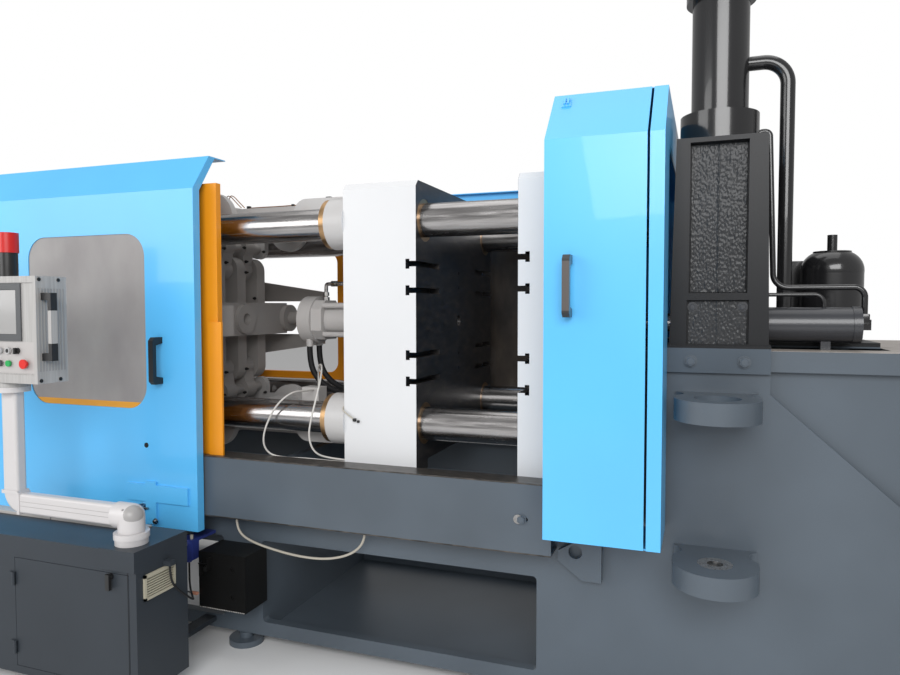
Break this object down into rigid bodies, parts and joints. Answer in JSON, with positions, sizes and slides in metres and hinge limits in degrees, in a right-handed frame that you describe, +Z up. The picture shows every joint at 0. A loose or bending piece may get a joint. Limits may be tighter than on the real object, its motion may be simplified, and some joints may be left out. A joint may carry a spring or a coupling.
{
  "type": "hot chamber die casting machine",
  "caption": "Hot chamber die casting machine: toggle clamp on tie bars, sliding doors, operator pendant, upright injection cylinder over a melt furnace.",
  "frame": {"origin": "on the floor, below the centre of the fixed platen's die face", "axes": "+X along the clamping axis towards the injection end, -Y towards the operator, +Z up"},
  "size_m": [5.07, 1.907, 2.75],
  "materials": {
    "machine_grey": "semi-gloss dark blue-grey paint",
    "platen_white": "satin off-white paint",
    "toggle_grey": "satin grey paint",
    "bar_steel": "hard chromed and polished",
    "bright_steel": "machined",
    "bronze": "machined bronze",
    "cover_blue": "semi-gloss light blue paint",
    "guard_yellow": "semi-gloss orange-yellow paint",
    "box_black": "satin black paint",
    "cabinet_grey": "satin dark grey paint",
    "arm_white": "satin white paint",
    "pendant_grey": "satin",
    "handle_black": "matt",
    "pane_clear": "clear sheet",
    "lens_red": "clear red",
    "button_white": "gloss",
    "button_green": "gloss",
    "button_red": "gloss",
    "switch_blue": "gloss",
    "melt_iron": "rough",
    "hose_black": "satin",
    "tube_white": "clear nylon",
    "tube_cream": "nylon"
  },
  "bodies": {
    "machine_frame": {"bed_frame": "machine_grey", "injection_bed": "machine_grey", "door_beams": "machine_grey", "toggle_guards": "guard_yellow", "fixed_platen": "platen_white", "tail_platen": "platen_white", "tie_bars": "bar_steel", "clamp_cylinder": "toggle_grey", "crosshead_guides": "toggle_grey", "cover_shell": "cover_blue", "bearing_outer": "bright_steel", "cabinet_shell": "cabinet_grey", "arm_base": "arm_white", "junction_box": "box_black", "limit_switch": "switch_blue", "beam_tube": "tube_cream", "switch_lead": "hose_black"},
    "moving_platen": {"moving_platen": "platen_white", "guide_bushes": "bronze", "ejector_cylinder": "toggle_grey", "ejector_hose_near": "hose_black", "ejector_hose_far": "hose_black", "lube_tube": "tube_white", "platen_tube": "tube_white"},
    "ejector_rod": {"ejector_rod": "bar_steel"},
    "crosshead": {"crosshead": "toggle_grey"},
    "rear_link_upper": {"rear_link_upper": "toggle_grey"},
    "rear_link_lower": {"rear_link_lower": "toggle_grey"},
    "front_link_upper": {"front_link_upper": "toggle_grey"},
    "front_link_lower": {"front_link_lower": "toggle_grey"},
    "short_link_upper": {"short_link_upper": "toggle_grey"},
    "short_link_lower": {"short_link_lower": "toggle_grey"},
    "front_door": {"door_panel": "cover_blue", "door_window": "pane_clear", "door_handle": "handle_black"},
    "rear_door": {"rear_door": "cover_blue", "rear_window": "pane_clear"},
    "cover_door": {"cover_door": "cover_blue"},
    "pendant_arm": {"pendant_arm": "arm_white"},
    "pendant_case": {"pendant_case": "pendant_grey", "signal_lamps": "lens_red"},
    "selector_knob": {"selector_knob": "handle_black"},
    "push_button_one": {"push_button_one": "button_white"},
    "push_button_two": {"push_button_two": "button_red"},
    "push_button_three": {"push_button_three": "button_white"},
    "push_button_green": {"push_button_green": "button_green"},
    "emergency_stop": {"emergency_stop": "button_red"},
    "cabinet_door": {"cabinet_door": "cabinet_grey"},
    "cabinet_latch": {"cabinet_latch": "handle_black"},
    "switch_lever": {"switch_lever": "bright_steel"},
    "injection_unit": {"injection_frame": "machine_grey", "injection_cylinder": "machine_grey", "furnace": "machine_grey", "crucible": "melt_iron", "gooseneck": "melt_iron", "carriage_cylinders": "machine_grey", "accumulator": "box_black", "hydraulic_pipes": "machine_grey"},
    "plunger": {"plunger": "bar_steel"},
    "bearing_inner": {"bearing_inner": "bright_steel"}
  },
  "joints": [
    {"name": "platen_slide", "type": "slide", "parent": "machine_frame", "child": "moving_platen", "axis": [1, 0, 0], "range_m": [-0.27, 0]},
    {"name": "crosshead_slide", "type": "slide", "parent": "machine_frame", "child": "crosshead", "axis": [1, 0, 0], "range_m": [-0.2407, 0]},
    {"name": "rear_upper_pivot", "type": "hinge", "parent": "machine_frame", "child": "rear_link_upper", "pos_m": [-1.99, 0, 1.9], "axis": [0, 1, 0], "range_deg": [0, 44.1]},
    {"name": "rear_lower_pivot", "type": "hinge", "parent": "machine_frame", "child": "rear_link_lower", "pos_m": [-1.99, 0, 0.94], "axis": [0, 1, 0], "range_deg": [-44.1, 0]},
    {"name": "front_upper_pivot", "type": "hinge", "parent": "moving_platen", "child": "front_link_upper", "pos_m": [-1.03, 0, 1.9], "axis": [0, 1, 0], "range_deg": [-44.1, 0]},
    {"name": "front_lower_pivot", "type": "hinge", "parent": "moving_platen", "child": "front_link_lower", "pos_m": [-1.03, 0, 0.94], "axis": [0, 1, 0], "range_deg": [0, 44.1]},
    {"name": "short_upper_pivot", "type": "hinge", "parent": "crosshead", "child": "short_link_upper", "pos_m": [-1.73, 0, 1.68], "axis": [0, 1, 0], "range_deg": [0, 103.1]},
    {"name": "short_lower_pivot", "type": "hinge", "parent": "crosshead", "child": "short_link_lower", "pos_m": [-1.73, 0, 1.16], "axis": [0, 1, 0], "range_deg": [-103.1, 0]},
    {"name": "ejector_slide", "type": "slide", "parent": "moving_platen", "child": "ejector_rod", "axis": [1, 0, 0], "range_m": [0, 0.1]},
    {"name": "front_door_slide", "type": "slide", "parent": "machine_frame", "child": "front_door", "axis": [1, 0, 0], "range_m": [0, 1.5]},
    {"name": "rear_door_slide", "type": "slide", "parent": "machine_frame", "child": "rear_door", "axis": [1, 0, 0], "range_m": [-1.3, 0]},
    {"name": "cover_door_hinge", "type": "hinge", "parent": "machine_frame", "child": "cover_door", "pos_m": [0.486, -0.775, 1.4], "axis": [0, 0, 1], "range_deg": [0, 110]},
    {"name": "arm_swivel", "type": "hinge", "parent": "machine_frame", "child": "pendant_arm", "pos_m": [-1.338, -1.032, 0.65], "axis": [0, 0, 1], "range_deg": [0, 100]},
    {"name": "pendant_swivel", "type": "hinge", "parent": "pendant_arm", "child": "pendant_case", "pos_m": [-1.927, -1.032, 1.17], "axis": [0, 0, 1], "range_deg": [-90, 45]},
    {"name": "selector_turn", "type": "hinge", "parent": "pendant_case", "child": "selector_knob", "pos_m": [-1.812, -1.1, 1.316], "axis": [0, 1, 0], "range_deg": [-45, 45]},
    {"name": "button_one_press", "type": "slide", "parent": "pendant_case", "child": "push_button_one", "axis": [0, 1, 0], "range_m": [0, 0.004], "stiffness_N_per_m": 400},
    {"name": "button_two_press", "type": "slide", "parent": "pendant_case", "child": "push_button_two", "axis": [0, 1, 0], "range_m": [0, 0.004], "stiffness_N_per_m": 400},
    {"name": "button_three_press", "type": "slide", "parent": "pendant_case", "child": "push_button_three", "axis": [0, 1, 0], "range_m": [0, 0.004], "stiffness_N_per_m": 400},
    {"name": "button_green_press", "type": "slide", "parent": "pendant_case", "child": "push_button_green", "axis": [0, 1, 0], "range_m": [0, 0.004], "stiffness_N_per_m": 400},
    {"name": "stop_press", "type": "slide", "parent": "pendant_case", "child": "emergency_stop", "axis": [0, 1, 0], "range_m": [0, 0.006], "stiffness_N_per_m": 800},
    {"name": "cabinet_door_hinge", "type": "hinge", "parent": "machine_frame", "child": "cabinet_door", "pos_m": [-1.843, -1.1164, 0.3], "axis": [0, 0, 1], "range_deg": [-110, 0]},
    {"name": "cabinet_latch_turn", "type": "hinge", "parent": "cabinet_door", "child": "cabinet_latch", "pos_m": [-1.36, -1.11, 0.505], "axis": [0, 1, 0], "range_deg": [0, 90]},
    {"name": "switch_lever_turn", "type": "hinge", "parent": "machine_frame", "child": "switch_lever", "pos_m": [-1.418, -0.66, 0.472], "axis": [0, 1, 0], "range_deg": [-30, 30], "stiffness_Nm_per_rad": 0.6},
    {"name": "carriage_slide", "type": "slide", "parent": "machine_frame", "child": "injection_unit", "axis": [1, 0, 0], "range_m": [0, 0.15]},
    {"name": "plunger_slide", "type": "slide", "parent": "injection_unit", "child": "plunger", "axis": [0, 0, 1], "range_m": [-0.15, 0]},
    {"name": "bearing_turn", "type": "hinge", "parent": "machine_frame", "child": "bearing_inner", "pos_m": [0.698, -0.665, 0.64], "axis": [0, 0, 1], "continuous": true}
  ],
  "couplings": [
    {"joint": "crosshead_slide", "follows": "platen_slide", "ratio": 0.89138},
    {"joint": "rear_upper_pivot", "follows": "platen_slide", "rad_per_m": -2.8474},
    {"joint": "rear_lower_pivot", "follows": "platen_slide", "rad_per_m": 2.8474},
    {"joint": "front_upper_pivot", "follows": "platen_slide", "rad_per_m": 2.8474},
    {"joint": "front_lower_pivot", "follows": "platen_slide", "rad_per_m": -2.8474},
    {"joint": "short_upper_pivot", "follows": "platen_slide", "rad_per_m": -6.6584},
    {"joint": "short_lower_pivot", "follows": "platen_slide", "rad_per_m": 6.6584}
  ]
}
